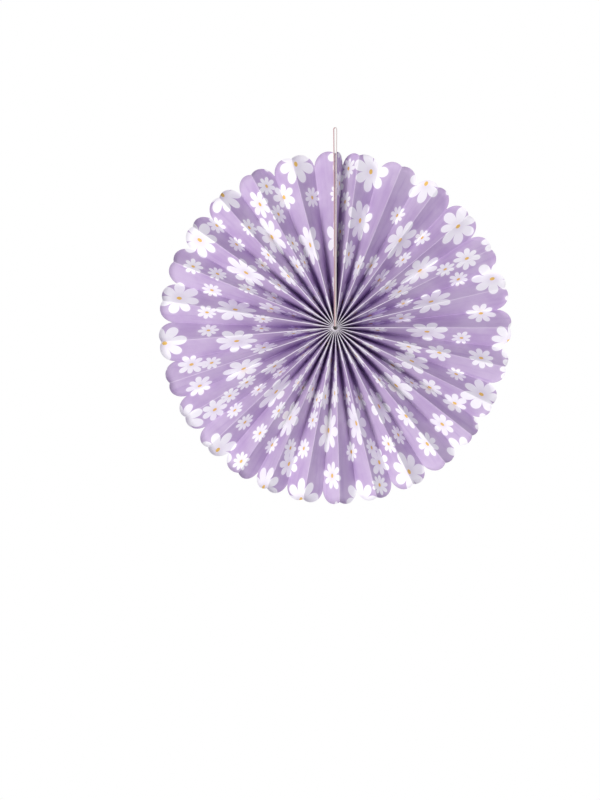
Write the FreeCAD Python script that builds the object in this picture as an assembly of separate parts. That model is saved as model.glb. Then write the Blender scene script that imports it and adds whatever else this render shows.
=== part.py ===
import FreeCAD, Part

import os
from math import asin, atan2, cos, degrees, hypot, inf, pi, radians, sin, sqrt, tan

# A round paper fan: one long strip of printed paper, pleated across its length, with its two
# ends joined at a seam and its inner ends drawn together, so that the folds radiate from a hub.
# Frame: origin at the middle of the hub, Z up along the seam, the printed side faces -Y.
# All lengths are in millimetres.

# The pleated sheet
FAN_RADIUS = 200.0          # hub axis to the crown of each scallop
RIM_DEPTH = 17.0            # front fold to back fold at the rim, where the folds are evenly spread
PAPER = 0.2                 # thickness of the paper
HUB_GAP = 0.1               # clear space between neighbouring panels at the hub
SCALLOP_CROWN = 9.5         # front fold to the crown of a scallop, along the paper
VALLEY_NOTCH = 14.0         # crown of a scallop to its low end at the back fold

# Direction of each front fold, clockwise from the seam in degrees, as a fan opened by hand has them
FRONT_FOLD_ANGLES = (
    0, 8, 22.5, 36.3, 49.9, 63.2, 76.7, 90, 103, 116.2, 128.2, 140.8, 153.5, 166.2,
    178.5, 190.5, 203, 213.7, 226.8, 239.2, 251.5, 265.3, 278.9, 292.2, 305.4, 318.3, 331.2, 345.5,
)

# The thread that gathers the inner ends, and the holes that it runs through
THREAD = 0.7                # diameter of the thread
THREAD_RADIUS = 6.0         # hub axis to the middle of the thread
THREAD_CLEARANCE = 0.15     # thread to the edge of its hole
THREAD_RUNS = 14            # straight runs between the bends of the drawn thread

# The tape that joins the two ends of the sheet, folded along the inside of the seam
TAPE = 0.1                  # thickness of the tape
GLUE_GAP = 0.15             # tape to paper

# The hanging cord. One strand's route, from its bend in front of the hub up over the seam to
# the loop; the other strand mirrors it. Behind the bend each strand runs straight to the knot.
CORD = 1.3                  # diameter of the cord
CORD_SIDES = 8              # flat sides that stand for a round cord or thread
HUB_BEND = 1.35             # radius of the bend over the inner end of the seam
CORD_ROUTE = (
    (0.7, -15.3, 1.75),
    (0.75, -14.95, 34.0),
    (0.85, -14.25, 86.0),
    (1.0, -12.92, 136.0),
    (1.2, -10.95, 180.0),
    (1.6, -7.4, 226.35),
)

# The knot behind the hub, with the cord's two ends
KNOT_WIDTH = 7.0
KNOT_DEPTH = 5.0
KNOT_BEVEL = 1.4
KNOT_GAP = 0.2              # knot to the paper in front of it
KNOT_DROP = 0.5             # middle of the knot below the strands
TAIL_LENGTH = 9.0           # middle of the knot to a tail's end
TAIL_SPREAD = 25.0          # each tail's angle from straight down, in degrees

# Flat facets that a twisting panel and its scallop are made of
FACET_ROWS = 5
FACET_COLUMNS = 2
SCALLOP_SIDES = 7
RIM_STRIP = 20.0            # crown of a scallop to the last even row of facets
FLAT_BELOW = 1e-6           # volume between four corners, in cubic mm times six, that counts as flat

V = FreeCAD.Vector
PLEATS = len(FRONT_FOLD_ANGLES)
RIM_ANGLES = FRONT_FOLD_ANGLES + (360,)   # the last pleat ends at the seam, where the first begins
LAST_PANEL = 2 * PLEATS - 1
HALF_STEP = pi / (2 * PLEATS)           # half of the angle that one panel takes, evenly spread
HALF_FOLD = (PAPER + HUB_GAP) / 2       # half of the flat crown of a fold
HUB_RADIUS = HALF_FOLD / sin(HALF_STEP)
REACH = FAN_RADIUS - HUB_RADIUS
PANEL_WIDTH = hypot(RIM_DEPTH, 2 * sin(HALF_STEP) * REACH)
SCALLOP_RADIUS = ((PANEL_WIDTH - SCALLOP_CROWN) ** 2 + VALLEY_NOTCH ** 2) / (2 * VALLEY_NOTCH)
THREAD_SAG = THREAD_RADIUS * tan(pi / (2 * THREAD_RUNS)) ** 2   # thread's bends and runs off its circle
KNOT_FRONT = (PANEL_WIDTH + PAPER) / 2 + KNOT_GAP


def heading(angle):
    """Direction in the fan's plane, in degrees clockwise from the seam."""
    return V(sin(radians(angle)), 0, cos(radians(angle)))


def fold_angle(number):
    """Direction of a fold. Front folds have even numbers, and back folds the odd ones between them."""
    return (RIM_ANGLES[number // 2] + RIM_ANGLES[(number + 1) // 2]) / 2


def fold_at(number, out):
    """Middle of a fold at a distance out from the hub, where the folds start evenly spread."""
    place = heading(number * 180 / PLEATS) * HUB_RADIUS + heading(fold_angle(number)) * out
    front = -sqrt(PANEL_WIDTH ** 2 - (2 * sin(HALF_STEP) * out) ** 2) / 2
    if number % 2:
        before = fold_at(number - 1, out)
        run = hypot(place.x - before.x, place.z - before.z) - 2 * HALF_FOLD
        return place + V(0, front + sqrt(PANEL_WIDTH ** 2 - run ** 2), 0)
    return place + V(0, front, 0)


def panel_at(panel, out):
    """A panel's corners beside its two folds, unit vectors along it and out of its print, its turn."""
    side = heading((fold_angle(panel) + fold_angle(panel + 1)) / 2 + 90)
    first = fold_at(panel, out) + side * HALF_FOLD
    second = fold_at(panel + 1, out) - side * HALF_FOLD
    turn = atan2(second.y - first.y, (second - first).dot(side))
    along = side * cos(turn) + V(0, sin(turn), 0)
    front = side * sin(turn) - V(0, cos(turn), 0)
    return first, second, along, front, turn


def paper_point(panel, place, out, layer):
    """A point on the printed side of a panel, or on its plain side where the layer is -1.

    Places run from 0 at the corner beside the first fold to 1 beside the second; -1 and 2 are the
    middles of those folds.
    """
    half = layer * PAPER / 2
    if place < 0:
        return fold_at(panel, out) - V(0, half, 0)
    if place > 1:
        return fold_at(panel + 1, out) - V(0, half, 0)
    first, second, along, front, turn = panel_at(panel, out)
    mitre = (front - along * tan(turn / 2)) * half
    start = first + (front * half if panel == 0 else mitre)
    end = second + (front * half if panel == LAST_PANEL else mitre)
    return start + (end - start) * place


def rim_at(across):
    """Distance out from the hub to the edge of a scallop, for a distance across from its front fold."""
    return REACH - SCALLOP_RADIUS + sqrt(SCALLOP_RADIUS ** 2 - (across - SCALLOP_CROWN) ** 2)


def divided(start, end, count):
    """Values from start to end, both among them."""
    return [start + (end - start) * number / count for number in range(count + 1)]


def facet_rows():
    """Distances out from the hub between which an evenly spread panel's slope changes evenly."""
    last = asin(2 * sin(HALF_STEP) * (REACH - RIM_STRIP) / PANEL_WIDTH)
    return [PANEL_WIDTH * sin(slope) / (2 * sin(HALF_STEP)) for slope in divided(0, last, FACET_ROWS)]


def scallop_places():
    """Distances across from the front fold to the corners of a scallop's sides."""
    low = -asin(SCALLOP_CROWN / SCALLOP_RADIUS)
    high = asin((PANEL_WIDTH - SCALLOP_CROWN) / SCALLOP_RADIUS)
    return [SCALLOP_CROWN + SCALLOP_RADIUS * sin(angle) for angle in divided(low, high, SCALLOP_SIDES)]


def outline(corners):
    """A closed line through flat corners."""
    return Part.makePolygon([*corners, corners[0]])


def flat_face(*corners):
    return Part.Face(outline(corners))


def flat_faces(a, b, c, d):
    """One flat face through four corners, or two triangles where they twist."""
    if abs((b - a).cross(d - a).dot(c - a)) < FLAT_BELOW:
        return [flat_face(a, b, c, d)]
    return [flat_face(a, b, c), flat_face(a, c, d)]


def joined(near, far, mirrored=False):
    """Faces between two lines of points, each point with its place along its line."""
    faces = []
    i = j = 0
    while i < len(near) - 1 or j < len(far) - 1:
        next_near = near[i + 1][0] if i < len(near) - 1 else inf
        next_far = far[j + 1][0] if j < len(far) - 1 else inf
        if next_near == next_far:
            corners = [near[i][1], near[i + 1][1], far[j + 1][1], far[j][1]]
            faces += flat_faces(*(corners[1:] + corners[:1] if mirrored else corners))
            i, j = i + 1, j + 1
        elif next_near < next_far:
            faces.append(flat_face(near[i][1], near[i + 1][1], far[j][1]))
            i += 1
        else:
            faces.append(flat_face(near[i][1], far[j + 1][1], far[j][1]))
            j += 1
    return faces


def sewn(faces):
    """One solid from the faces that enclose it."""
    shell = Part.makeCompound(faces)
    shell.sewShape()
    solid = Part.makeSolid(shell.Shells[0])
    if solid.Volume < 0:
        solid.reverse()
    return solid


def panel_faces(panel):
    """Both sides of a panel, its inner end, its scallop, and at the seam its free edge."""
    late = panel % 2 == 1
    ends = ([] if panel == 0 else [-1], [] if panel == LAST_PANEL else [2])
    even = [number / FACET_COLUMNS for number in range(FACET_COLUMNS + 1)]
    scallop = [place / PANEL_WIDTH for place in scallop_places()]
    scallop[0], scallop[-1] = 0, 1
    if late:
        scallop = [1 - place for place in reversed(scallop)]
    sides = []
    for layer in (1, -1):
        lines = [[(place, paper_point(panel, place, out, layer)) for place in ends[0] + even + ends[1]]
                 for out in facet_rows()]
        rim = []
        for place in ends[0] + scallop + ends[1]:
            across = min(max(1 - place if late else place, 0), 1) * PANEL_WIDTH
            rim.append((place, paper_point(panel, place, rim_at(across), layer)))
        sides.append(lines + [rim])
    printed, plain = sides
    faces = joined(printed[0], plain[0], late) + joined(printed[-1], plain[-1], late)
    for lines in sides:
        for near, far in zip(lines, lines[1:]):
            faces += joined(near, far, late)
    for end in [0] * (panel == 0) + [-1] * (panel == LAST_PANEL):
        faces += joined(*([(row, line[end][1]) for row, line in enumerate(lines)] for lines in sides))
    return faces


def thread_holes():
    """The ring that the thread's holes are cut with, one flat side to a panel."""
    half = THREAD / 2 + THREAD_SAG + THREAD_CLEARANCE
    discs = []
    for radius in (THREAD_RADIUS + half, THREAD_RADIUS - half):
        corners = [heading(number * 180 / PLEATS) * radius - V(0, half, 0) for number in range(2 * PLEATS)]
        discs.append(flat_face(*corners).extrude(V(0, 2 * half, 0)))
    return discs[0].cut(discs[1])


def pleated_fan():
    """The whole sheet, from one side of the seam round to the other."""
    sheet = sewn([face for panel in range(LAST_PANEL + 1) for face in panel_faces(panel)])
    return sheet.cut(thread_holes())


def tape_line(out, behind):
    """The folded tape's section at a distance out, at a distance behind the paper's middle."""
    legs = []
    corner = 0
    for panel in (0, LAST_PANEL):
        first, second, along, front, turn = panel_at(panel, out)
        legs.append((first + second) / 2 - front * behind)
        corner = max(corner, (behind - HALF_FOLD * abs(sin(turn))) / cos(turn))
    return [(0, legs[0]), (1, fold_at(0, out) + V(0, corner, 0)), (2, legs[1])]


def seam_tape():
    """The folded tape behind the two end panels, as wide as the facets that it follows."""
    near = PAPER / 2 + GLUE_GAP
    sides = [[tape_line(out, behind) for out in facet_rows()[1:]] for behind in (near, near + TAPE)]
    faces = joined(sides[0][0], sides[1][0]) + joined(sides[0][-1], sides[1][-1])
    for lines in sides:
        for low, high in zip(lines, lines[1:]):
            faces += joined(low[:2], high[:2], True) + joined(low[1:], high[1:])
    for end in (0, -1):
        faces += joined(*([(row, line[end][1]) for row, line in enumerate(lines)] for lines in sides))
    return sewn(faces)


def round_section(diameter, stretch=1.0):
    """Corners of a many-sided section square to Y, stretched along X."""
    angles = [2 * pi * number / CORD_SIDES for number in range(CORD_SIDES)]
    return [V(diameter / 2 * cos(angle) * stretch, 0, diameter / 2 * sin(angle)) for angle in angles]


def hub_thread():
    """The drawn thread, in straight runs round the hub, mitred where it bends."""
    step = 360 / THREAD_RUNS
    corner = V(THREAD_RADIUS + THREAD_SAG, 0, 0)
    rings = []
    for number in range(THREAD_RUNS):
        about = FreeCAD.Rotation(V(0, 1, 0), step * number)
        upright = FreeCAD.Rotation(V(1, 0, 0), 90)
        section = round_section(THREAD, 1 / cos(pi / THREAD_RUNS))
        rings.append([about.multVec(corner + upright.multVec(point)) for point in section])
    faces = []
    for ring, after in zip(rings, rings[1:] + rings[:1]):
        for side in range(CORD_SIDES):
            faces.append(flat_face(ring[side - 1], ring[side], after[side], after[side - 1]))
    return sewn(faces)


def rounded_path(points, tight):
    """Straight runs joined by tangent arcs, as large as their runs allow unless pulled tight."""
    edges = []
    start = points[0]
    for number in range(1, len(points) - 1):
        before = points[number - 1] - points[number]
        after = points[number + 1] - points[number]
        half_turn = (pi - before.getAngle(after)) / 2
        radius = tight.get(number, 0.45 * min(before.Length, after.Length) / tan(half_turn))
        print(f"cord bend {number}: radius {radius:.2f} mm, turn {degrees(2 * half_turn):.1f} degrees")
        setback = radius * tan(half_turn)
        inward = (before.normalize() + after.normalize()).normalize()
        first = points[number] + before * setback
        last = points[number] + after * setback
        middle = points[number] + inward * (radius / cos(half_turn) - radius)
        edges.append(Part.LineSegment(start, first).toShape())
        edges.append(Part.Arc(first, middle, last).toShape())
        start = last
    edges.append(Part.LineSegment(start, points[-1]).toShape())
    return Part.Wire(edges)


def hanging_cord():
    """Both strands and the loop that joins them, as one tube."""
    route = [V(*point) for point in CORD_ROUTE]
    strand = [V(route[0].x, KNOT_FRONT, route[0].z)] + route
    points = strand + [V(-point.x, point.y, point.z) for point in reversed(strand)]
    path = rounded_path(points, {1: HUB_BEND, len(points) - 2: HUB_BEND})
    section = outline([points[0] + corner for corner in round_section(CORD)])
    tube = path.makePipeShell([section], True, False)
    area = Part.Face(section).Area
    print(f"cord: length {path.Length:.1f} mm, tube volume over section times length "
          f"{tube.Volume / (area * path.Length):.4f}")
    return tube


def cord_knot():
    """The knot that keeps the strands in the hub, and its two tails."""
    height = CORD_ROUTE[0][2] - KNOT_DROP
    knot = Part.makeCylinder(KNOT_WIDTH / 2, KNOT_DEPTH, V(0, KNOT_FRONT, height), V(0, 1, 0))
    rims = [edge for edge in knot.Edges if edge.Curve.TypeId == "Part::GeomCircle"]
    knot = knot.makeChamfer(KNOT_BEVEL, rims)
    middle = V(0, KNOT_FRONT + KNOT_DEPTH / 2, height)
    section = flat_face(*round_section(CORD))
    for side in (-1, 1):
        tail = section.extrude(V(0, TAIL_LENGTH, 0))
        tail.rotate(V(0, 0, 0), V(1, 0, 0), -90)
        tail.rotate(V(0, 0, 0), V(0, 1, 0), side * TAIL_SPREAD)
        tail.translate(middle)
        knot = knot.fuse(tail)
    return knot


PIECES = {
    "pleated_fan": pleated_fan,
    "hub_thread": hub_thread,
    "seam_tape": seam_tape,
    "hanging_cord": hanging_cord,
    "cord_knot": cord_knot,
}

os.makedirs("parts", exist_ok=True)
print(f"panel width {PANEL_WIDTH:.2f} mm, sheet {2 * PLEATS * PANEL_WIDTH:.0f} mm long and "
      f"{REACH:.1f} mm wide, hub opening {2 * HUB_RADIUS:.2f} mm across")
for name, make in PIECES.items():
    piece = make()
    print(f"{name}: valid {piece.isValid()}, {len(piece.Solids)} solid, {piece.Volume:.1f} cubic mm")
    piece.exportStep(f"parts/{name}.step")
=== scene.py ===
import math
import random

import bpy
from mathutils import Matrix, Vector


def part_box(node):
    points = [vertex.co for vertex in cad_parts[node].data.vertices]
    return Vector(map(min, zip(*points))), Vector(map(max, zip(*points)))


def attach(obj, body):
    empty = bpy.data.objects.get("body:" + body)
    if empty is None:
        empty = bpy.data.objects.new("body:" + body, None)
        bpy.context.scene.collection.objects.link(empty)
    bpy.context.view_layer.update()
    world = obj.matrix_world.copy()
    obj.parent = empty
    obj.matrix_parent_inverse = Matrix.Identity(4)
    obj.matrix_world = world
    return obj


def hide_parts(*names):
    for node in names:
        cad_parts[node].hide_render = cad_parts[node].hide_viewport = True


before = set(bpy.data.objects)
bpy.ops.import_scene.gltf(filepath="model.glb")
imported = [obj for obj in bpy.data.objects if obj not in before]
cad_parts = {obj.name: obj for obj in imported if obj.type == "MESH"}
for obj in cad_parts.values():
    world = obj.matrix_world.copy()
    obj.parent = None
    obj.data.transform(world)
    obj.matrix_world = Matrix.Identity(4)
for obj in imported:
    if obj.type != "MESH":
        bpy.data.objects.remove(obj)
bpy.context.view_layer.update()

bl_info = {
    "name": "Paper Fan Rosette",
    "version": (1, 0, 0),
    "blender": (4, 5, 0),
    "location": "3D View > Sidebar > Rosette",
    "description": "Pleated paper fan with a scalloped rim, a daisy print and a hanging cord",
    "category": "Add Mesh",
}

MM = 0.001

# The picture's size and the hub's place in it, in pixels
PICTURE_WIDTH, PICTURE_HEIGHT = 600, 800
HUB_RIGHT, HUB_DOWN = 335, 328

# Direction of each front fold, clockwise from the seam in degrees, as a fan opened by hand has them
FRONT_FOLDS = (
    0, 8, 22.5, 36.3, 49.9, 63.2, 76.7, 90, 103, 116.2, 128.2, 140.8, 153.5, 166.2,
    178.5, 190.5, 203, 213.7, 226.8, 239.2, 251.5, 265.3, 278.9, 292.2, 305.4, 318.3, 331.2, 345.5,
)
PANELS = 2 * len(FRONT_FOLDS)
HALF_STEP = math.pi / PANELS            # half of the angle that one panel takes, evenly spread
SEAM_LIFTS = (-1.1 * MM, 3.6 * MM)      # how far the fold at the seam and the next stand out at the rim
LIFT_GROWTH = 1.5                       # power by which a fold's lift grows from the hub to the rim
HUB_PITCH = 1.5                         # from panel to panel at the hub, in thicknesses of paper
AT_HUB = 1e-6                           # distance from the hub up to which the panels lie side by side
FOLD_SEED = 28

# One strand of the cord, in metres, from the knot through the hub and up over the seam to the loop
CORD_ROUTE = (
    (0.0007, 0.01427, 0.00175),
    (0.0007, -0.0120, 0.00175),
    (0.0007, -0.0153, 0.00175),
    (0.0007, -0.0153, 0.0050),
    (0.00075, -0.0152, 0.034),
    (0.00085, -0.0147, 0.086),
    (0.0010, -0.0137, 0.136),
    (0.0012, -0.0121, 0.180),
    (0.0016, -0.0090, 0.2215),
    (0.0016, -0.0087, 0.22635),
)
KNOT_WIDTH = 7 * MM
KNOT_DROP = 1.1 * MM                    # middle of the knot below the strands

# How finely the pieces are divided
SHEET_ROWS = 30
ROW_GROWTH = 1.25                       # power by which the rows grow longer towards the rim
SCALLOP_SIDES = 11
TAPE_ROWS = 30
TAPE_COLUMNS = 6
KNOT_POINTS = 36
CORD_FINENESS = 12
KNOT_FINENESS = 6

# Each lamp's name, size, share of the key light's strength, place and tint
LAMPS = (
    ("key_light", 1.1, 1.0, (-1.45, -2.15, -0.40), (1.0, 0.985, 0.955)),
    ("side_light", 1.0, 0.10, (1.7, -1.9, 0.5), (0.95, 0.96, 1.0)),
    ("back_light", 1.2, 0.8, (-2.1, 1.4, 0.9), (1.0, 1.0, 1.0)),
)
FLOOR_SIDES = 64
FLOOR_RADIUS = 1.05
FLOOR_HEIGHT = -0.78


def length_setting(name, description, default, least=0.0, **more):
    return bpy.props.FloatProperty(
        name=name, description=description, default=default, min=least,
        unit="LENGTH", subtype="DISTANCE", **more)


def colour_setting(name, description, default):
    return bpy.props.FloatVectorProperty(
        name=name, description=description, subtype="COLOR", size=4, default=(*default, 1), min=0, max=1)


class RosettePaper(bpy.types.PropertyGroup):
    radius: length_setting("Radius", "Hub axis to the crown of a scallop", 0.2, 0.05)
    rim_depth: length_setting(
        "Rim Depth", "Front fold to back fold at the rim, where the folds are evenly spread",
        0.017, 0.001)
    thickness: length_setting("Thickness", "Thickness of the paper", 0.0002, 0.00005)
    crown: length_setting(
        "Scallop Crown", "Front fold to the crown of a scallop, along the paper", 0.0095)
    notch: length_setting("Valley Notch", "Crown of a scallop to its low end at the back fold", 0.014)
    lift: length_setting("Uneven Folds", "How far front folds stand out of line at the rim", 0.0011)
    bow: length_setting("Panel Bow", "How far a panel bows between its folds at the rim", 0.0005)


class RosettePrint(bpy.types.PropertyGroup):
    field: colour_setting("Field", "Colour of the printed ground", (0.505, 0.380, 0.605))
    flower: colour_setting("Petals", "Colour of the flowers' petals", (0.93, 0.93, 0.95))
    heart: colour_setting("Hearts", "Colour of the flowers' centres", (0.82, 0.53, 0.13))
    # Also the white of the worn front folds, which is partly painted highlight
    back: colour_setting(
        "Back", "Colour of the paper's plain side and of its worn folds", (0.94, 0.91, 0.94))
    # Painted shade: tint multiplied into the print deep between the folds near the hub
    deep: colour_setting(
        "Painted Fold Shade", "Tint that the print takes deep between the folds near the hub",
        (0.66, 0.45, 0.86))
    large: length_setting("Large Flower", "Radius of the largest flowers", 0.0245, 0.002)
    medium: length_setting("Medium Flower", "Radius of the flowers of the middle size", 0.0162, 0.002)
    small: length_setting("Small Flower", "Radius of the smallest flowers", 0.0120, 0.002)


class RosetteCord(bpy.types.PropertyGroup):
    diameter: length_setting("Diameter", "Diameter of the hanging cord", 0.0013, 0.0004)
    length: length_setting("Length", "Length of both strands and their loop together", 0.5095, 0.05)
    colour: colour_setting("Colour", "Colour of the cotton", (0.86, 0.79, 0.73))


class RosetteTape(bpy.types.PropertyGroup):
    leg: length_setting("Leg", "Width of the tape on each end panel", 0.0139, 0.001)
    start: length_setting("Start", "Hub axis to the inner end of the tape", 0.042, 0.01)
    end: length_setting("End", "Hub axis to the outer end of the tape", 0.180, 0.02)
    thickness: length_setting("Thickness", "Thickness of the tape", 0.0001, 0.00002)
    gap: length_setting("Glue", "Tape to paper", 0.00015)


class RosetteStage(bpy.types.PropertyGroup):
    distance: length_setting("Camera Distance", "Camera to the middle of the fan", 2.4, 0.5)
    scale: length_setting(
        "Pixel Size", "Size of one pixel of the picture at the fan", 0.001136, 0.0001, precision=6)
    key: bpy.props.FloatProperty(
        name="Key Light", description="Strength of the soft light from the left",
        default=48.5, min=0, unit="POWER", subtype="POWER")
    fill: bpy.props.FloatProperty(
        name="Fill Light", description="Strength of the soft light from all round",
        default=0.42, min=0)


class Shading:
    """Short calls that add and join nodes of one material or node group."""

    def __init__(self, tree):
        self.tree = tree
        tree.nodes.clear()

    def node(self, kind, inputs=None, **settings):
        made = self.tree.nodes.new(kind)
        for key, value in settings.items():
            setattr(made, key, value)
        for key, value in (inputs or {}).items():
            self.feed(made.inputs[key], value)
        return made

    def feed(self, socket, value):
        if isinstance(value, bpy.types.NodeSocket):
            self.tree.links.new(value, socket)
        else:
            socket.default_value = value

    def math(self, operation, *values, clamp=False):
        inputs = dict(enumerate(values))
        return self.node("ShaderNodeMath", inputs, operation=operation, use_clamp=clamp).outputs[0]

    def vector(self, operation, *values):
        made = self.node("ShaderNodeVectorMath", dict(enumerate(values)), operation=operation)
        return made.outputs["Value" if operation in ("LENGTH", "DISTANCE") else "Vector"]

    def axes(self, vector):
        return self.node("ShaderNodeSeparateXYZ", {0: vector}).outputs

    def step(self, value, low, high, first=0.0, last=1.0):
        """A smooth change from first to last as value goes from low to high."""
        made = self.node("ShaderNodeMapRange", {
            "Value": value, "From Min": low, "From Max": high, "To Min": first, "To Max": last,
        }, interpolation_type="SMOOTHSTEP")
        return made.outputs["Result"]

    def mix(self, share, first, second, blend="MIX"):
        made = self.node("ShaderNodeMix", data_type="RGBA", blend_type=blend)
        for number, value in ((0, share), (6, first), (7, second)):
            self.feed(made.inputs[number], value)
        return made.outputs[2]

    def noise(self, vector, scale, detail=2.0, rough=0.5):
        return self.node("ShaderNodeTexNoise", {
            "Vector": vector, "Scale": scale, "Detail": detail, "Roughness": rough}).outputs["Fac"]

    def bump(self, height, distance, strength=1.0):
        return self.node("ShaderNodeBump", {
            "Height": height, "Distance": distance, "Strength": strength}).outputs["Normal"]

    def surface(self, **values):
        shader = self.node("ShaderNodeBsdfPrincipled")
        for key, value in values.items():
            self.feed(shader.inputs[key.replace("_", " ")], value)
        out = self.node("ShaderNodeOutputMaterial")
        self.tree.links.new(shader.outputs[0], out.inputs["Surface"])


def material(name):
    """A new material and its shading."""
    made = bpy.data.materials.new(name)
    made.use_nodes = True
    return made, Shading(made.node_tree)


def group(name, inputs, outputs):
    """An empty node group, its shading and its two end nodes."""
    tree = bpy.data.node_groups.new(name, "ShaderNodeTree")
    for label, kind in inputs.items():
        tree.interface.new_socket(label, in_out="INPUT", socket_type="NodeSocket" + kind)
    for label, kind in outputs.items():
        tree.interface.new_socket(label, in_out="OUTPUT", socket_type="NodeSocket" + kind)
    shading = Shading(tree)
    return shading, shading.node("NodeGroupInput").outputs, shading.node("NodeGroupOutput").inputs


def grouped(shading, name, inputs):
    """The outputs of a node group for these inputs."""
    made = shading.node("ShaderNodeGroup", node_tree=bpy.data.node_groups[name])
    for key, value in inputs.items():
        shading.feed(made.inputs[key], value)
    return made.outputs


def flower_place_group():
    """Where the nearest flower of one size stands on the sheet."""
    s, given, out = group(
        "Flower Place",
        {"Place": "Vector", "Spacing": "Float", "Scatter": "Float", "Shift": "Vector"},
        {"Centre": "Vector", "Chance": "Color"})
    moved = s.vector("ADD", given["Place"], given["Shift"])
    cells = s.node("ShaderNodeTexVoronoi", {
        "Vector": moved, "Scale": s.math("DIVIDE", 1.0, given["Spacing"]),
        "Randomness": given["Scatter"]}, voronoi_dimensions="2D")
    s.feed(out["Centre"], s.vector("SUBTRACT", cells.outputs["Position"], given["Shift"]))
    s.feed(out["Chance"], cells.outputs["Color"])


def flower_group():
    """A daisy of rounded petals about its centre, some of them a little longer than others."""
    s, given, out = group(
        "Daisy",
        {
            "Offset": "Vector", "Chance": "Color", "Radius": "Float",
            "Fewest Petals": "Float", "Heart": "Float",
        },
        {"Petals": "Float", "Halo": "Float", "Heart": "Float", "Depth": "Float"})
    chance = s.node("ShaderNodeSeparateColor", {0: given["Chance"]}).outputs
    flat = s.axes(given["Offset"])
    away = s.vector("LENGTH", given["Offset"])
    start = s.math("MULTIPLY", chance["Red"], math.tau)
    turn = s.math("ADD", s.math("ARCTAN2", flat["Y"], flat["X"]), start)
    count = s.math("ADD", given["Fewest Petals"], s.math("ROUND", chance["Green"]))
    phase = s.math("MULTIPLY", turn, count)
    lobe = s.math("ABSOLUTE", s.math("COSINE", s.math("MULTIPLY", phase, 0.5)))
    petal = s.math("FLOORED_MODULO", s.math("ROUND", s.math("DIVIDE", phase, math.tau)), count)
    own = s.node(
        "ShaderNodeTexWhiteNoise", {"Vector": given["Chance"], "W": petal}, noise_dimensions="4D")
    longer = s.math("MULTIPLY_ADD", own.outputs["Value"], 0.14, -0.08)
    uneven = s.math("MULTIPLY", s.math("SINE", s.math("MULTIPLY", turn, 2.0)), 0.05)
    length = s.math("ADD", s.math("ADD", 0.66, uneven), longer)
    reach = s.math("MULTIPLY_ADD", s.math("POWER", lobe, 0.45), length, 0.32)
    edge = s.math("SUBTRACT", s.math("MULTIPLY", reach, given["Radius"]), away)
    s.feed(out["Petals"], s.step(edge, -0.15 * MM, 0.25 * MM))
    s.feed(out["Halo"], s.step(edge, -2.6 * MM, 0.0))
    oval = s.vector("LENGTH", s.vector("MULTIPLY", given["Offset"], (1.0, 0.78, 1.0)))
    s.feed(out["Heart"], s.step(oval, s.math("ADD", given["Heart"], 0.35 * MM), given["Heart"]))
    s.feed(out["Depth"], s.math("DIVIDE", away, given["Radius"]))


def paper_grain_group():
    """Fibres and slight waves of a matte sheet."""
    s, given, out = group(
        "Paper Grain", {"Place": "Vector"}, {"Height": "Float", "Mottle": "Float"})
    fibres = s.noise(given["Place"], 1800.0, 3.0, 0.6)
    waves = s.noise(given["Place"], 60.0, 2.0)
    s.feed(out["Height"], s.math("MULTIPLY_ADD", fibres, 0.25, waves))
    s.feed(out["Mottle"], s.noise(given["Place"], 25.0, 4.0, 0.55))


def fold_wear_and_shade_group():
    """Near the hub above all, white cracks along the front folds, worn and partly painted highlight, and
    painted shade in the depths between them.
    """
    s, given, out = group(
        "Fold Wear And Shade",
        {"Place": "Vector", "Panel": "Float", "Width": "Float"},
        {"Front": "Float", "Deep": "Float"})
    flat = s.axes(given["Place"])
    across = s.math("PINGPONG", s.math("DIVIDE", flat["X"], given["Panel"]), 1.0)
    ragged = s.math("MULTIPLY", s.noise(given["Place"], 420.0, 3.0, 0.6), given["Width"])
    # Painted highlight along with the wear: the white cracks widen and strengthen towards the hub
    near_hub = s.step(flat["Y"], 12 * MM, 110 * MM, 1.5, 0.22)
    limit = s.math("MULTIPLY_ADD", near_hub, s.math("MULTIPLY", given["Width"], 0.35), ragged)
    line = s.step(s.math("MULTIPLY", across, given["Panel"]), limit, s.math("MULTIPLY", limit, 0.45))
    s.feed(out["Front"], s.math("MULTIPLY", line, near_hub))
    # Painted shade: darker from the middle of each panel towards its back fold, near the hub
    inward = s.step(across, 0.30, 0.95)
    s.feed(out["Deep"], s.math("MULTIPLY", inward, s.step(flat["Y"], 95 * MM, 20 * MM)))


def lighter(colour, share):
    """A colour part of the way to white."""
    return [value + (1 - value) * share for value in colour[:3]] + [1]


def dimmed(colour, *shares):
    """A colour times one share, or its red, green and blue each times their own."""
    return [value * share for value, share in zip(colour[:3], shares * 3)] + [1]


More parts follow.
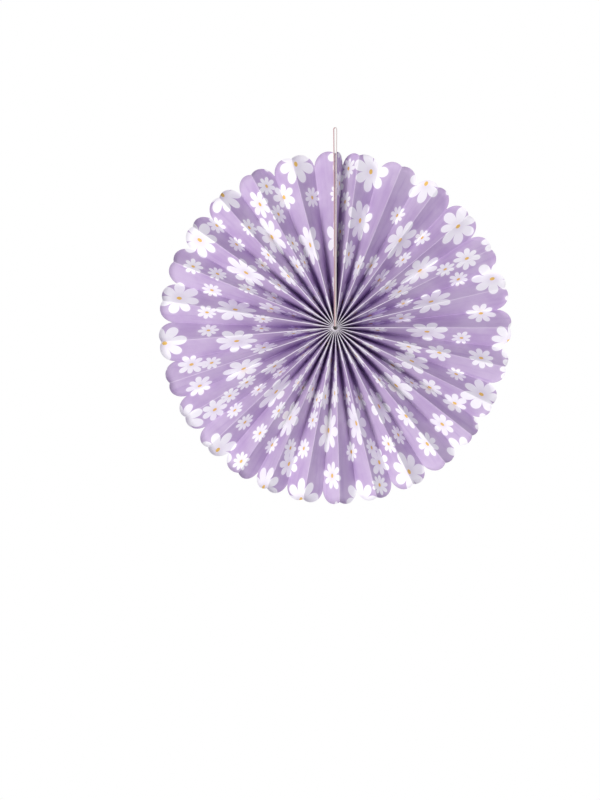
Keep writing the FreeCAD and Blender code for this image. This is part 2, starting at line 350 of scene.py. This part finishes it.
def printed_paper(paper, colours):
    """The sheet's printed side: daisies of three sizes scattered on a plain ground."""
    made, s = material("printed_paper")
    place = s.node("ShaderNodeUVMap", uv_map="sheet").outputs[0]
    # Each size's radius, spacing, scatter, fewest petals, heart, and shift that gives it its own layout
    sizes = (
        (colours.large, 84 * MM, 0.42, 7.0, 2.1 * MM, (3.31, 1.17, 0)),
        (colours.medium, 43 * MM, 0.30, 7.0, 1.8 * MM, (7.73, 5.39, 0)),
        (colours.small, 34 * MM, 0.34, 8.0, 1.5 * MM, (1.57, 9.11, 0)),
    )
    overlap = 2.5 * MM

    def nearest(number, where):
        _, spacing, scatter, _, _, shift = sizes[number]
        return grouped(s, "Flower Place", {
            "Place": where, "Spacing": spacing, "Scatter": scatter, "Shift": shift})

    def room(number, centre):
        """1 where no larger flower that shows stands in the way of the flower with that centre."""
        free = 1.0
        for larger in range(number):
            other = nearest(larger, centre)["Centre"]
            needed = sizes[larger][0] + sizes[number][0] - overlap
            near = s.math("LESS_THAN", s.vector("DISTANCE", centre, other), needed)
            taken = s.math("MULTIPLY", near, room(larger, other))
            free = s.math("MULTIPLY", free, s.math("SUBTRACT", 1.0, taken))
        return free

    petals = halo = heart = depth = 0.0
    for number, (radius, _, _, fewest, middle, _) in enumerate(sizes):
        spot = nearest(number, place)
        clear = room(number, spot["Centre"])
        daisy = grouped(s, "Daisy", {
            "Offset": s.vector("SUBTRACT", place, spot["Centre"]), "Chance": spot["Chance"],
            "Radius": radius, "Fewest Petals": fewest, "Heart": middle})
        inside = s.math("MULTIPLY", daisy["Petals"], clear)
        petals = s.math("MAXIMUM", petals, inside)
        halo = s.math("MAXIMUM", halo, s.math("MULTIPLY", daisy["Halo"], clear))
        heart = s.math("MAXIMUM", heart, s.math("MULTIPLY", daisy["Heart"], clear))
        depth = s.math("MAXIMUM", depth, s.math("MULTIPLY", inside, s.step(daisy["Depth"], 0.5, 0.1)))
    grain = grouped(s, "Paper Grain", {"Place": place})
    folds = grouped(s, "Fold Wear And Shade", {"Place": place, "Panel": panel_width(paper), "Width": 0.9 * MM})
    field = list(colours.field)
    pale, soft = lighter(field, 0.16), lighter(field, 0.35)
    dense = dimmed(field, 0.86, 0.80, 0.93)
    ground = s.mix(s.step(grain["Mottle"], 0.35, 0.65), field, pale)
    brushed = s.noise(s.vector("MULTIPLY", place, (150.0, 16.0, 1.0)), 1.0, 3.0, 0.6)
    ground = s.mix(s.step(brushed, 0.42, 0.75, 0.0, 0.5), ground, pale)
    ground = s.mix(s.step(brushed, 0.50, 0.25, 0.0, 0.5), ground, dense)
    ground = s.mix(s.math("MULTIPLY", halo, 0.5), ground, soft)
    flower = s.mix(s.math("MULTIPLY", depth, 0.35), list(colours.flower), soft)
    colour = s.mix(petals, ground, flower)
    colour = s.mix(heart, colour, list(colours.heart))
    # Painted shade: the print darkens deep between the folds near the hub
    colour = s.mix(folds["Deep"], colour, list(colours.deep), "MULTIPLY")
    # Worn white cracks along the front folds, partly painted highlight
    colour = s.mix(folds["Front"], colour, list(colours.back))
    s.surface(
        Base_Color=colour, Roughness=s.step(grain["Mottle"], 0.2, 0.8, 0.56, 0.66),
        Specular_IOR_Level=0.3, Normal=s.bump(grain["Height"], 0.05 * MM, 0.5))
    return made


def plain_paper(colours):
    """The sheet's plain side and its cut edges, with painted shade on the edges round the hub's hole."""
    made, s = material("plain_paper")
    place = s.node("ShaderNodeUVMap", uv_map="sheet").outputs[0]
    grain = grouped(s, "Paper Grain", {"Place": place})
    plain = s.mix(s.step(grain["Mottle"], 0.3, 0.7), list(colours.back), dimmed(colours.back, 0.94))
    # Painted shade: the edges gathered round the hub's hole, with gaps between them that swallow the
    # light, are darkened in colour
    hub_edge_shade = s.step(s.axes(place)["Y"], 0.02 * MM, 0.3 * MM, 0.85, 0.0)
    dark = (0.04, 0.03, 0.05, 1)
    s.surface(
        Base_Color=s.mix(hub_edge_shade, plain, dark),
        Roughness=0.75, Specular_IOR_Level=0.3, Normal=s.bump(grain["Height"], 0.05 * MM, 0.5))
    return made


def hub_shade(s, place):
    """1 where the cord takes painted shade: in the hub's hole and on the side of the knot that closes
    it.
    """
    flat = s.axes(place)
    away = s.vector("LENGTH", s.vector("MULTIPLY", place, (1.0, 0.0, 1.0)))
    within = s.math("MULTIPLY", s.step(flat["Y"], -13 * MM, -8 * MM), s.step(away, 4.6 * MM, 3.6 * MM))
    forward = s.axes(s.node("ShaderNodeTexCoord").outputs["Normal"])["Y"]
    hidden = s.math("MAXIMUM", s.step(forward, 0.2, -0.2), s.step(flat["Y"], 15 * MM, 14.2 * MM))
    return s.math("MULTIPLY", within, hidden)


def cotton(name, colour, pitch, rosy_shade=0.0):
    """Twisted cotton whose plies run along Z, with painted shade in their grooves, a painted rosy shade
    on the strand to the left and painted shade in the hub.
    """
    made, s = material(name)
    place = s.node("ShaderNodeTexCoord").outputs["Object"]
    flat = s.axes(place)
    slant = s.math("ADD", flat["Z"], s.math("MULTIPLY", flat["X"], 0.8))
    plies = s.math("ABSOLUTE", s.math("SINE", s.math("MULTIPLY", slant, math.pi / pitch)))
    fuzz = s.noise(place, 5200.0, 2.0, 0.6)
    # Painted shade in the grooves between the plies, with fuzz of random tone
    shade = s.math("MULTIPLY_ADD", plies, 0.75, s.math("MULTIPLY", fuzz, 0.35), clamp=True)
    # Painted shade: the strand to the left is darkened and tinted rose
    left_strand_shade = s.step(flat["X"], 0.15 * MM, -0.15 * MM, 0.0, rosy_shade)
    tone = s.mix(shade, dimmed(colour, 0.62), list(colour))
    rose_shade, dark = (0.74, 0.50, 0.55, 1), (0.03, 0.02, 0.04, 1)
    tone = s.mix(left_strand_shade, tone, rose_shade, "MULTIPLY")
    # Painted shade: the cord goes nearly black in the hub's hole and on the knot's side that closes it
    tone = s.mix(s.math("MULTIPLY", hub_shade(s, place), 0.95), tone, dark)
    s.surface(
        Base_Color=tone, Roughness=0.85, Sheen_Weight=0.3,
        Specular_IOR_Level=0.25, Normal=s.bump(shade, 0.12 * MM, 0.7))
    return made


def paper_tape():
    """Plain tape, a little warmer and darker than the paper."""
    made, s = material("paper_tape")
    place = s.node("ShaderNodeTexCoord").outputs["Object"]
    grain = grouped(s, "Paper Grain", {"Place": place})
    warm = (0.86, 0.83, 0.77, 1)
    darker = (0.80, 0.76, 0.68, 1)
    s.surface(
        Base_Color=s.mix(s.step(grain["Mottle"], 0.3, 0.7), warm, darker),
        Roughness=0.6, Specular_IOR_Level=0.35, Normal=s.bump(grain["Height"], 0.05 * MM, 0.4))
    return made


def hub_radius(paper):
    """The hub's opening, as wide as all the panels side by side."""
    return paper.thickness * HUB_PITCH / 2 / math.sin(HALF_STEP)


def panel_width(paper):
    """From fold to fold across a panel, the same from the hub to the rim."""
    spread = 2 * math.sin(HALF_STEP) * (paper.radius - hub_radius(paper))
    return math.hypot(paper.rim_depth, spread)


class Pleats:
    """Shape of the opened sheet: places on it from the distance along it and out from the hub."""

    def __init__(self, paper):
        self.paper = paper
        self.hub = hub_radius(paper)
        self.width = panel_width(paper)
        self.reach = paper.radius - self.hub
        self.curve = ((self.width - paper.crown) ** 2 + paper.notch ** 2) / (2 * paper.notch)
        rng = random.Random(FOLD_SEED)
        self.folds = [math.radians(angle) for angle in FRONT_FOLDS] + [math.tau]
        lifts = [rng.uniform(-1, 1) * paper.lift for _ in FRONT_FOLDS]
        self.lifts = [*SEAM_LIFTS, *lifts[2:], SEAM_LIFTS[0]]
        self.bows = [rng.uniform(-0.4, 1) * paper.bow for _ in range(PANELS)]

    def edge(self, across):
        """How far out the sheet reaches at a distance from a front fold."""
        return self.reach - self.curve + math.sqrt(self.curve ** 2 - (across - self.paper.crown) ** 2)

    def front(self, number, out):
        """Depth of a front fold at a distance out from the hub."""
        run = math.sin(HALF_STEP) * out
        even = -math.sqrt(self.width ** 2 - 4 * run ** 2) / 2
        return even + self.lifts[number] * (out / self.reach) ** LIFT_GROWTH

    def pleat(self, number, out):
        """A front fold, the back fold after it and the next front fold, unrolled at a distance out."""
        span = out * (self.folds[number + 1] - self.folds[number])
        first = Vector((0, self.front(number, out)))
        second = Vector((span, self.front(number + 1, out)))
        chord = second - first
        rise = math.sqrt(self.width ** 2 - chord.length_squared / 4)
        back = (first + second) / 2 + rise * Vector((-chord.y, chord.x)) / chord.length
        return first, back, second

    def section(self, panel, out, places):
        """Points of a panel at a distance out, for distances from its first fold, as (angle, depth)."""
        number, late = divmod(panel, 2)
        start, turn = self.folds[number], self.folds[number + 1] - self.folds[number]
        if out < AT_HUB:
            line = (Vector((0, -self.width / 2)), Vector((0, self.width / 2)))
            line = line[::-1] if late else line
            share = 0.5
        else:
            first, back, second = self.pleat(number, out)
            line = (back, second) if late else (first, back)
            share = back.x / second.x
        # Each panel keeps half of a flat crease at both its folds
        flat = self.hub * turn
        early_crease, late_crease = flat * share / 2, flat * (1 - share) / 2
        crease = late_crease if late else early_crease
        offset = 2 * early_crease + late_crease if late else early_crease
        direction = (line[1] - line[0]).normalized()
        normal = Vector((direction.y, -direction.x))
        bow = self.bows[panel] * out / self.reach
        points = []
        for place in places:
            if place < crease:
                point = self.crease(line[0], direction, -1, crease, place / crease)
            elif place > self.width - crease:
                point = self.crease(line[1], -direction, 1, crease, (self.width - place) / crease)
            else:
                swell = bow * math.sin(math.pi * place / self.width)
                point = line[0] + direction * place + normal * swell
            points.append((start + (offset + point.x) / (self.hub + out), point.y))
        return points

    @staticmethod
    def crease(corner, direction, side, flat, share):
        """A rounded fold: from its middle, half of its flat away, round the corner into the panel."""
        middle = corner + Vector((side * flat, 0))
        end = corner + direction * flat
        return middle.lerp(corner, share).lerp(corner.lerp(end, share), share)


def sheet_places(pleats):
    """Distances across a panel from its front fold: close in the folds, even round the scallop."""
    width, crown, curve = pleats.width, pleats.paper.crown, pleats.curve
    flat = pleats.hub * HALF_STEP
    bend = flat * 0.4
    low = -math.asin((crown - flat) / curve)
    high = math.asin((width - flat - crown) / curve)
    inner = [crown + curve * math.sin(low + (high - low) * number / SCALLOP_SIDES)
             for number in range(SCALLOP_SIDES + 1)]
    return [0, bend, *inner, width - bend, width]


def fan_sheet(paper):
    """The whole pleated sheet, with both its sides and its cut edges."""
    pleats = Pleats(paper)
    from_front = sheet_places(pleats)
    rows = [(number / SHEET_ROWS) ** ROW_GROWTH for number in range(SHEET_ROWS + 1)]
    columns, alongs, edges = [], [], []
    for panel in range(PANELS):
        late = panel % 2
        places = [pleats.width - place for place in reversed(from_front)] if late else from_front
        if panel:
            places = places[1:]
        for place in places:
            edge = pleats.edge(pleats.width - place if late else place)
            column = []
            for share in rows:
                out = edge * share
                angle, depth = pleats.section(panel, out, [place])[0]
                total = pleats.hub + out
                column.append(Vector((total * math.sin(angle), depth, total * math.cos(angle))))
            columns.append(column)
            alongs.append(panel * pleats.width + place)
            edges.append(edge)
    return solid_sheet(columns, alongs, edges, rows, paper.thickness)


def solid_sheet(columns, alongs, edges, rows, thickness):
    """A mesh of a thin sheet from points down its middle, with its flat places as its UV map."""
    wide, tall = len(columns), len(rows)
    fronts, backs = [], []
    for i, column in enumerate(columns):
        left, right = columns[max(i - 1, 0)], columns[min(i + 1, wide - 1)]
        for j, point in enumerate(column):
            up = column[min(j + 1, tall - 1)] - column[max(j - 1, 0)]
            normal = (right[j] - left[j]).cross(up).normalized() * thickness / 2
            fronts.append(point + normal)
            backs.append(point - normal)
    flat = [(along, edge * share) for along, edge in zip(alongs, edges) for share in rows]
    count = wide * tall
    faces = []
    for i in range(wide - 1):
        for j in range(tall - 1):
            a = i * tall + j
            quad = (a, a + tall, a + tall + 1, a + 1)
            faces.append(quad)
            faces.append(tuple(corner + count for corner in reversed(quad)))
    rim = [i * tall + tall - 1 for i in range(wide)]
    hub = [i * tall for i in reversed(range(wide))]
    first = list(range(tall))
    last = [(wide - 1) * tall + j for j in reversed(range(tall))]
    sides = len(faces)
    for line in (first, rim, last, hub):
        faces += [(b, a, a + count, b + count) for a, b in zip(line, line[1:])]
    mesh = bpy.data.meshes.new("pleated_paper")
    mesh.from_pydata(fronts + backs, [], faces)
    layer = mesh.uv_layers.new(name="sheet")
    places = flat + flat
    for loop in mesh.loops:
        layer.data[loop.index].uv = places[loop.vertex_index]
    for face in mesh.polygons:
        face.use_smooth = face.index < sides
        face.material_index = 1 if face.index >= sides or face.index % 2 else 0
    mesh.validate()
    return mesh


def tape_strip(paper, tape):
    """The folded tape behind both end panels, from one leg over the inside of the seam to the other."""
    pleats = Pleats(paper)
    behind = paper.thickness / 2 + tape.gap + tape.thickness / 2
    shares = [number / TAPE_ROWS for number in range(TAPE_ROWS + 1)]
    rows = [tape.start + (tape.end - tape.start) * share for share in shares]
    legs = [pleats.hub + tape.leg * number / TAPE_COLUMNS for number in range(1, TAPE_COLUMNS + 1)]

    def column(leg, late):
        """Points down the tape at a distance from the seam, behind the first panel or the last."""
        panel = PANELS - 1 if late else 0
        place = pleats.width - leg if late else leg
        points = []
        for row in rows:
            beside = place + 0.1 * MM
            (angle, depth), (other, lower) = pleats.section(panel, row - pleats.hub, [place, beside])
            along = Vector((row * (other - angle), lower - depth)).normalized()
            across = row * (angle - math.tau if late else angle)
            spot = Vector((across, depth)) + Vector((-along.y, along.x)) * behind
            points.append(Vector((spot.x, spot.y, row)))
        return points

    columns = [column(leg, True) for leg in reversed(legs)] + [column(leg, False) for leg in legs]
    alongs = [tape.leg * number / TAPE_COLUMNS for number in range(2 * TAPE_COLUMNS)]
    lengths = [tape.end - tape.start] * len(columns)
    return solid_sheet(columns, alongs, lengths, shares, tape.thickness)


def added(name, data):
    made = bpy.data.objects.new(name, data)
    bpy.context.collection.objects.link(made)
    return made


class ROSETTE_OT_paper(bpy.types.Operator):
    """Fold the printed sheet into the round fan"""

    bl_idname = "rosette.paper"
    bl_label = "Pleated Paper"

    def execute(self, context):
        paper, colours = context.scene.rosette_paper, context.scene.rosette_print
        flower_place_group()
        flower_group()
        paper_grain_group()
        fold_wear_and_shade_group()
        fan = added("fan_paper", fan_sheet(paper))
        fan.data.materials.append(printed_paper(paper, colours))
        fan.data.materials.append(plain_paper(colours))
        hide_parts("pleated_fan")
        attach(fan, "root")
        return {"FINISHED"}


class ROSETTE_OT_seam(bpy.types.Operator):
    """Fold the tape along the inside of the seam"""

    bl_idname = "rosette.seam"
    bl_label = "Seam Tape"

    def execute(self, context):
        scene = context.scene
        tape = added("fold_tape", tape_strip(scene.rosette_paper, scene.rosette_tape))
        tape.data.materials.append(paper_tape())
        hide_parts("seam_tape")
        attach(tape, "root")
        return {"FINISHED"}


class ROSETTE_OT_thread(bpy.types.Operator):
    """Give the thread that gathers the hub its finish"""

    bl_idname = "rosette.thread"
    bl_label = "Hub Thread"

    def execute(self, context):
        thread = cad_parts["hub_thread"]
        thread.data.materials.clear()
        thread.data.materials.append(cotton("white_thread", (0.78, 0.76, 0.72, 1), pitch=0.9 * MM))
        return {"FINISHED"}


class ROSETTE_OT_cord(bpy.types.Operator):
    """Lead both strands of the cord from the knot over the seam to the loop"""

    bl_idname = "rosette.cord"
    bl_label = "Hanging Cord"

    def execute(self, context):
        cord = context.scene.rosette_cord
        route = [*CORD_ROUTE, *((-x, y, z) for x, y, z in reversed(CORD_ROUTE))]
        curve = round_curve("hanging_cord", [(route, False)], cord.diameter, CORD_FINENESS)
        curve.materials.append(cotton("twisted_cord", cord.colour, pitch=1.6 * MM, rosy_shade=0.9))
        made = added("cord_strands", curve)
        knot = tied_knot(cord)
        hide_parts("hanging_cord")
        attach(made, "root")
        return {"FINISHED"}


def round_curve(name, runs, diameter, fineness):
    """A round cord along each run of points, which closes on itself where it is marked as a loop."""
    curve = bpy.data.curves.new(name, "CURVE")
    curve.dimensions = "3D"
    curve.bevel_depth = diameter / 2
    curve.bevel_resolution = 3
    for points, is_loop in runs:
        spline = curve.splines.new("NURBS")
        spline.points.add(len(points) - 1)
        for point, place in zip(spline.points, points):
            point.co = (*place, 1)
        spline.order_u = 3
        spline.use_cyclic_u = is_loop
        spline.use_endpoint_u = not is_loop
        spline.resolution_u = fineness
    return curve


def tied_knot(cord):
    """The knot behind the hub, strands tied over each other in two layers, and the cord's two ends."""
    low, high = (Vector(corner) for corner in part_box("cord_knot"))
    half = cord.diameter / 2
    reach = (KNOT_WIDTH / 2 - half) / 3
    depth = (high.y - low.y - 4 * half) / 4
    centre = CORD_ROUTE[0][2] - KNOT_DROP
    runs = []
    for layer, twist, aside in ((1, 0, -half / 2), (3, math.pi / 3, half / 2)):
        middle = Vector((aside, low.y + half + depth * layer, centre + aside))
        loop = []
        for number in range(KNOT_POINTS):
            t = math.tau * number / KNOT_POINTS
            away = Vector((math.sin(t) + 2 * math.sin(2 * t), 0, 2 * math.cos(2 * t) - math.cos(t)))
            away.rotate(Matrix.Rotation(twist, 3, "Y"))
            loop.append(middle + away * reach + Vector((0, depth * math.sin(3 * t), 0)))
        runs.append((loop, True))
    for side in (-1, 1):
        inner = Vector((side * reach, (low.y + high.y) / 2, centre - 2 * reach))
        end = Vector((side * (high.x - half), inner.y, low.z + half))
        bend = inner.lerp(end, 0.5) + Vector((side * half, depth, 0))
        runs.append(([inner, bend, end], False))
    curve = round_curve("tied_knot", runs, cord.diameter, KNOT_FINENESS)
    curve.use_fill_caps = True
    curve.materials.append(bpy.data.materials["twisted_cord"])
    made = added("tied_knot", curve)
    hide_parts("cord_knot")
    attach(made, "root")
    return made


def soft_light(name, size, power, place, tint):
    """A round lamp that shines at the hub."""
    lamp = bpy.data.lights.new(name, "AREA")
    lamp.shape = "DISK"
    lamp.size = size
    lamp.energy = power
    lamp.color = tint
    made = added(name, lamp)
    made.location = place
    made.rotation_euler = (-Vector(place)).to_track_quat("-Z", "Y").to_euler()


class ROSETTE_OT_stage(bpy.types.Operator):
    """Set the camera, the lights and the pale floor"""

    bl_idname = "rosette.stage"
    bl_label = "Stage"

    def execute(self, context):
        stage = context.scene.rosette_stage
        camera = added("camera", bpy.data.cameras.new("camera"))
        camera.data.lens = camera.data.sensor_width * stage.distance / (PICTURE_HEIGHT * stage.scale)
        right, down = PICTURE_WIDTH / 2 - HUB_RIGHT, PICTURE_HEIGHT / 2 - HUB_DOWN
        camera.location = (right * stage.scale, -stage.distance, -down * stage.scale)
        camera.rotation_euler = (math.pi / 2, 0, 0)
        context.scene.camera = camera
        self.floor()
        self.world(context.scene, stage)
        for name, size, share, place, tint in LAMPS:
            soft_light(name, size, stage.key * share, place, tint)
        context.scene.view_settings.view_transform = "Standard"
        return {"FINISHED"}

    def floor(self):
        mesh = bpy.data.meshes.new("floor")
        turns = [math.tau * number / FLOOR_SIDES for number in range(FLOOR_SIDES)]
        corners = [(FLOOR_RADIUS * math.cos(turn), FLOOR_RADIUS * math.sin(turn), FLOOR_HEIGHT)
                   for turn in turns]
        mesh.from_pydata(corners, [], [tuple(range(FLOOR_SIDES))])
        floor = added("floor", mesh)
        made, s = material("pale_floor")
        speckle = s.noise(s.node("ShaderNodeTexCoord").outputs["Object"], 9.0, 3.0)
        s.surface(Base_Color=s.mix(speckle, (0.90, 0.90, 0.90, 1), (0.93, 0.93, 0.93, 1)), Roughness=0.8)
        mesh.materials.append(made)

    def world(self, scene, stage):
        world = bpy.data.worlds.new("studio")
        scene.world = world
        world.use_nodes = True
        s = Shading(world.node_tree)
        rays = s.node("ShaderNodeLightPath").outputs
        bounced = s.math("MAXIMUM", rays["Is Glossy Ray"], rays["Is Transmission Ray"])
        seen = s.math("MAXIMUM", rays["Is Camera Ray"], bounced)
        strength = s.math("ADD", stage.fill, s.math("MULTIPLY", seen, 1.0 - stage.fill))
        tint = s.mix(seen, (0.95, 0.88, 1.06, 1), (1, 1, 1, 1))
        sky = s.node("ShaderNodeBackground", {"Color": tint, "Strength": strength})
        out = s.node("ShaderNodeOutputWorld")
        world.node_tree.links.new(sky.outputs[0], out.inputs["Surface"])


class ROSETTE_PT_panel(bpy.types.Panel):
    """Sizes, colours and pieces of the paper fan"""

    bl_idname = "ROSETTE_PT_panel"
    bl_label = "Paper Fan Rosette"
    bl_space_type = "VIEW_3D"
    bl_region_type = "UI"
    bl_category = "Rosette"

    def draw(self, context):
        for name in GROUPS:
            settings = getattr(context.scene, name)
            box = self.layout.box()
            for field in settings.bl_rna.properties:
                if field.identifier not in ("rna_type", "name"):
                    box.prop(settings, field.identifier)
        for operator in OPERATORS:
            self.layout.operator(operator.bl_idname)


GROUPS = {
    "rosette_paper": RosettePaper,
    "rosette_print": RosettePrint,
    "rosette_cord": RosetteCord,
    "rosette_tape": RosetteTape,
    "rosette_stage": RosetteStage,
}
OPERATORS = (
    ROSETTE_OT_stage, ROSETTE_OT_cord, ROSETTE_OT_paper, ROSETTE_OT_seam, ROSETTE_OT_thread,
)


def register():
    for kind in (*GROUPS.values(), *OPERATORS, ROSETTE_PT_panel):
        bpy.utils.register_class(kind)
    for name, kind in GROUPS.items():
        setattr(bpy.types.Scene, name, bpy.props.PointerProperty(type=kind))


def unregister():
    for name in GROUPS:
        delattr(bpy.types.Scene, name)
    for kind in reversed((*GROUPS.values(), *OPERATORS, ROSETTE_PT_panel)):
        bpy.utils.unregister_class(kind)


def main():
    """Make every piece in order."""
    register()
    bpy.ops.rosette.stage()
    bpy.ops.rosette.cord()
    bpy.ops.rosette.paper()
    bpy.ops.rosette.seam()
    bpy.ops.rosette.thread()


if __name__ == "__main__":
    main()
